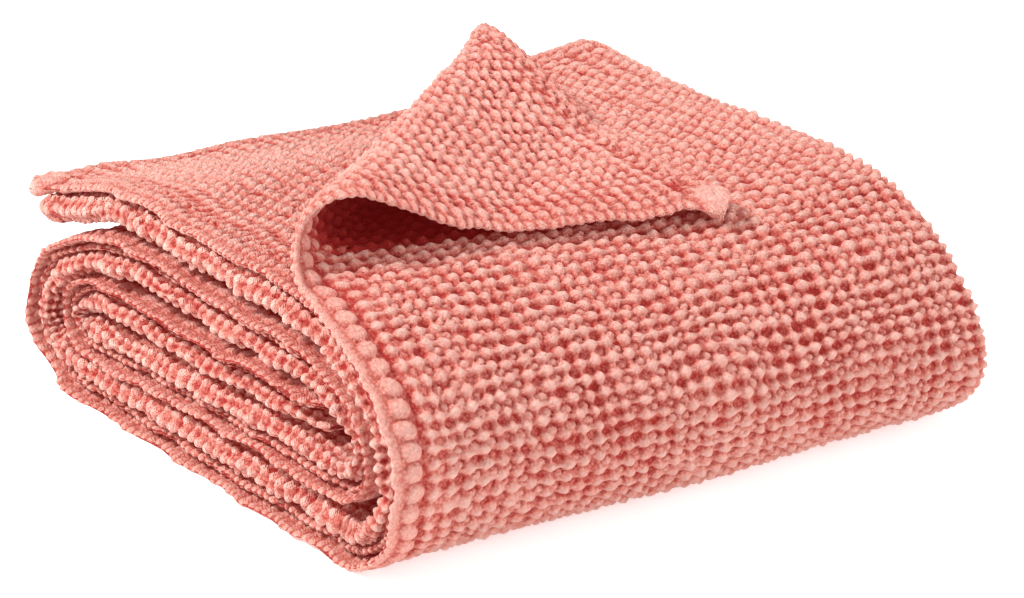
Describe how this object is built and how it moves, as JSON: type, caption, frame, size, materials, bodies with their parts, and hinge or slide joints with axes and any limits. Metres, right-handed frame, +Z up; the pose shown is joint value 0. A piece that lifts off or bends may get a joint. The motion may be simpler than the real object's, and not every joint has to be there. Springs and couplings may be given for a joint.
{
  "type": "bedspread",
  "caption": "Waffle-weave cotton bedspread, folded lengthwise and rolled up flat, with its free corner turned back over the top.",
  "frame": {"origin": "on the surface it rests on, under the middle of the bundle's box", "axes": "+X along the bundle from the end that shows its layers to the end with the closed folds, +Y from the front round to the flap's hem, +Z up"},
  "size_m": [0.4546, 0.442, 0.2107],
  "materials": {
    "waffle_cotton": "matte stone-washed coral cotton, deep honeycomb weave"
  },
  "bodies": {
    "root": {"bedspread": "waffle_cotton"}
  },
  "joints": []
}
